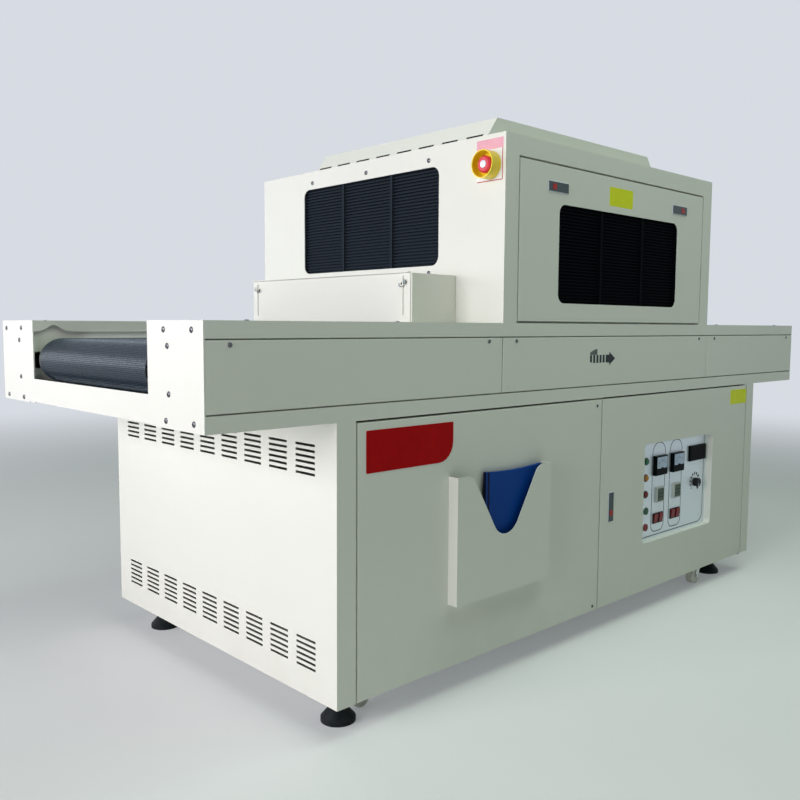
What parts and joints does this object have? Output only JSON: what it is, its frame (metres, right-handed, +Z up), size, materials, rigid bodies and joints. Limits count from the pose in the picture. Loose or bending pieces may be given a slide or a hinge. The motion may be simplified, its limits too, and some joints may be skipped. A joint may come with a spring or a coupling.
{
  "type": "uv curing oven",
  "caption": "Floor-standing conveyor curing oven: mesh belt through a long beam, filtered hood with fold-down door, cabinet with control panel.",
  "frame": {"origin": "on the floor under the centre of the conveyor beam", "axes": "+X along the belt from infeed to outfeed, +Y away from the operator towards the rear, +Z up"},
  "size_m": [2.45, 1.034, 1.3485],
  "materials": {
    "cream_paint": "satin powder coat",
    "belt_mesh": "coated open mesh",
    "drum_steel": "turned",
    "bare_steel": "zinc plated",
    "filter_black": "matt black fins",
    "panel_silver": "fine satin film",
    "meter_black": "gloss",
    "timer_grey": "matt",
    "switch_red": "gloss",
    "lamp_green": "gloss lens",
    "latch_grey": "satin",
    "folder_blue": "soft plastic sheet",
    "guard_yellow": "gloss",
    "stop_red": "gloss",
    "foot_rubber": "moulded",
    "caster_zinc": "zinc plated",
    "caster_nylon": "nylon"
  },
  "bodies": {
    "oven": {"beam_front_box": "cream_paint", "beam_rear_box": "cream_paint", "front_covers": "cream_paint", "rear_covers": "cream_paint", "infeed_end_plate": "cream_paint", "outfeed_end_plate": "cream_paint", "belt_pan": "cream_paint", "conveyor_belt": "belt_mesh", "drum_bearings": "drum_steel", "belt_bed": "bare_steel", "cabinet_infeed_end": "cream_paint", "cabinet_outfeed_end": "cream_paint", "cabinet_base": "cream_paint", "centre_posts": "cream_paint", "front_panel": "cream_paint", "rear_panels": "cream_paint", "door_hinges": "bare_steel", "document_pocket": "cream_paint", "document_folder": "folder_blue", "hood_wrap": "cream_paint", "hood_infeed_end": "cream_paint", "hood_outfeed_end": "cream_paint", "hood_filters": "filter_black", "hood_hinges": "bare_steel", "roof_cap": "cream_paint", "lamp_housing": "bare_steel", "tunnel_boxes": "cream_paint", "stop_guard": "guard_yellow", "levelling_feet": "foot_rubber", "caster_plates": "bare_steel"},
    "control_door": {"control_door": "cream_paint", "control_panel": "panel_silver", "panel_meters": "meter_black", "panel_timers": "timer_grey", "rocker_switches": "switch_red", "indicator_lamps": "lamp_green", "push_buttons": "switch_red", "speed_display": "meter_black", "cabinet_latch": "latch_grey"},
    "speed_knob": {"speed_knob": "meter_black"},
    "hood_door": {"hood_door": "cream_paint", "door_filter": "filter_black", "hood_latches": "latch_grey"},
    "infeed_gate": {"infeed_gate": "cream_paint"},
    "outfeed_gate": {"outfeed_gate": "cream_paint"},
    "stop_button": {"stop_button": "stop_red"},
    "infeed_drum": {"infeed_drum": "drum_steel"},
    "outfeed_drum": {"outfeed_drum": "drum_steel"},
    "caster_fork_front_infeed": {"caster_fork_front_infeed": "caster_zinc"},
    "caster_wheel_front_infeed": {"caster_wheel_front_infeed": "caster_nylon"},
    "caster_fork_rear_infeed": {"caster_fork_rear_infeed": "caster_zinc"},
    "caster_wheel_rear_infeed": {"caster_wheel_rear_infeed": "caster_nylon"},
    "caster_fork_front_outfeed": {"caster_fork_front_outfeed": "caster_zinc"},
    "caster_wheel_front_outfeed": {"caster_wheel_front_outfeed": "caster_nylon"},
    "caster_fork_rear_outfeed": {"caster_fork_rear_outfeed": "caster_zinc"},
    "caster_wheel_rear_outfeed": {"caster_wheel_rear_outfeed": "caster_nylon"}
  },
  "joints": [
    {"name": "control_door_hinge", "type": "hinge", "parent": "oven", "child": "control_door", "pos_m": [0.863, -0.497, 0.362], "axis": [0, 0, 1], "range_deg": [0, 110]},
    {"name": "speed_knob_turn", "type": "hinge", "parent": "control_door", "child": "speed_knob", "pos_m": [0.5715, -0.4885, 0.354], "axis": [0, -1, 0], "range_deg": [-270, 0]},
    {"name": "hood_door_hinge", "type": "hinge", "parent": "oven", "child": "hood_door", "pos_m": [0.073, -0.497, 0.871], "axis": [1, 0, 0], "range_deg": [0, 90]},
    {"name": "infeed_gate_slide", "type": "slide", "parent": "oven", "child": "infeed_gate", "axis": [0, 0, 1], "range_m": [0, 0.069]},
    {"name": "outfeed_gate_slide", "type": "slide", "parent": "oven", "child": "outfeed_gate", "axis": [0, 0, 1], "range_m": [0, 0.069]},
    {"name": "stop_button_push", "type": "slide", "parent": "oven", "child": "stop_button", "axis": [1, 0, 0], "range_m": [0, 0.005]},
    {"name": "infeed_drum_spin", "type": "hinge", "parent": "oven", "child": "infeed_drum", "pos_m": [-1.165, 0, 0.7641], "axis": [0, 1, 0], "continuous": true},
    {"name": "outfeed_drum_spin", "type": "hinge", "parent": "oven", "child": "outfeed_drum", "pos_m": [1.165, 0, 0.7641], "axis": [0, 1, 0], "continuous": true},
    {"name": "caster_swivel_front_infeed", "type": "hinge", "parent": "oven", "child": "caster_fork_front_infeed", "pos_m": [-0.773, -0.403, 0.063], "axis": [0, 0, 1], "continuous": true},
    {"name": "caster_roll_front_infeed", "type": "hinge", "parent": "caster_fork_front_infeed", "child": "caster_wheel_front_infeed", "pos_m": [-0.789, -0.403, 0.028], "axis": [0, 1, 0], "continuous": true},
    {"name": "caster_swivel_rear_infeed", "type": "hinge", "parent": "oven", "child": "caster_fork_rear_infeed", "pos_m": [-0.773, 0.383, 0.063], "axis": [0, 0, 1], "continuous": true},
    {"name": "caster_roll_rear_infeed", "type": "hinge", "parent": "caster_fork_rear_infeed", "child": "caster_wheel_rear_infeed", "pos_m": [-0.789, 0.383, 0.028], "axis": [0, 1, 0], "continuous": true},
    {"name": "caster_swivel_front_outfeed", "type": "hinge", "parent": "oven", "child": "caster_fork_front_outfeed", "pos_m": [0.646, -0.455, 0.063], "axis": [0, 0, 1], "continuous": true},
    {"name": "caster_roll_front_outfeed", "type": "hinge", "parent": "caster_fork_front_outfeed", "child": "caster_wheel_front_outfeed", "pos_m": [0.63, -0.455, 0.028], "axis": [0, 1, 0], "continuous": true},
    {"name": "caster_swivel_rear_outfeed", "type": "hinge", "parent": "oven", "child": "caster_fork_rear_outfeed", "pos_m": [0.646, 0.435, 0.063], "axis": [0, 0, 1], "continuous": true},
    {"name": "caster_roll_rear_outfeed", "type": "hinge", "parent": "caster_fork_rear_outfeed", "child": "caster_wheel_rear_outfeed", "pos_m": [0.63, 0.435, 0.028], "axis": [0, 1, 0], "continuous": true}
  ],
  "couplings": [
    {"joint": "outfeed_drum_spin", "follows": "infeed_drum_spin", "ratio": 1}
  ]
}
